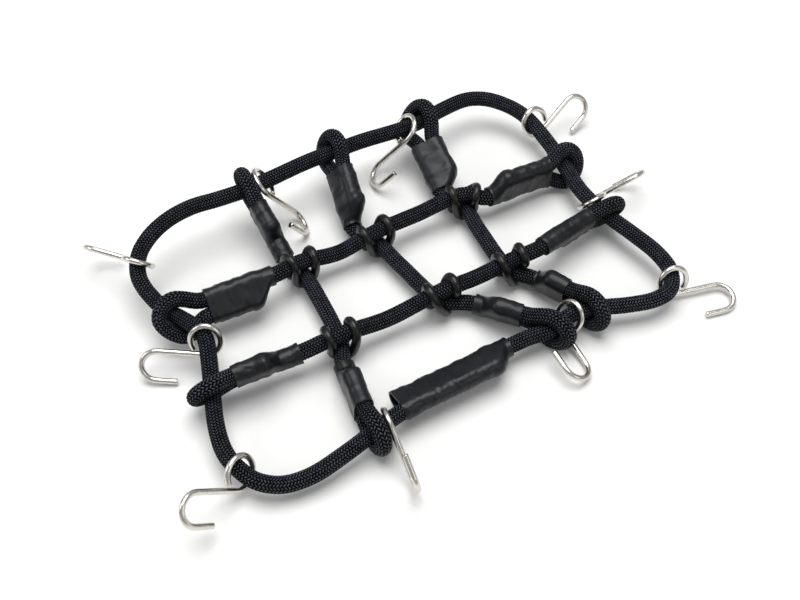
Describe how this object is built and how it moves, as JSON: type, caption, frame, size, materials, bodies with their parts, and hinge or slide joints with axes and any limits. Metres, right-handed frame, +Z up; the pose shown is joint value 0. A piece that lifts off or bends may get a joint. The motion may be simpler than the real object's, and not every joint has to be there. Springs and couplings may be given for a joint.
{
  "type": "elastic cargo net",
  "caption": "Stretchy cord luggage net: a rounded border cord, crossing cords folded round it and tubed, rubber rings at the crossings, and bent wire hooks round the edge.",
  "frame": {"origin": "centre of the net's outline seen from above, on the surface that it lies on", "axes": "+X along the net's long side, +Y across it, +Z up from the surface"},
  "size_m": [0.1111, 0.0756, 0.0151],
  "materials": {
    "cord": "black braided textile sheath over rubber",
    "tube": "matte charcoal shrink tube",
    "rubber": "glossy black rubber",
    "wire": "bright nickel-plated steel wire"
  },
  "bodies": {
    "root": {"perimeter_cord": "cord", "cross_cord_1": "cord", "cross_cord_2": "cord", "cross_cord_3": "cord", "long_cord_1": "cord", "long_cord_2": "cord", "tube_top_1": "tube", "tube_top_2": "tube", "tube_top_3": "tube", "tube_bottom_1": "tube", "tube_bottom_2": "tube", "tube_bottom_3": "tube", "tube_left_1": "tube", "tube_left_2": "tube", "tube_right_1": "tube", "tube_right_2": "tube", "joining_sleeve": "tube", "ring_1_1": "rubber", "ring_1_2": "rubber", "ring_2_1": "rubber", "ring_2_2": "rubber", "ring_3_1": "rubber", "ring_3_2": "rubber", "hook_1": "wire", "hook_2": "wire", "hook_3": "wire", "hook_4": "wire", "hook_5": "wire", "hook_6": "wire", "hook_7": "wire", "hook_8": "wire", "hook_9": "wire", "hook_10": "wire"}
  },
  "joints": []
}
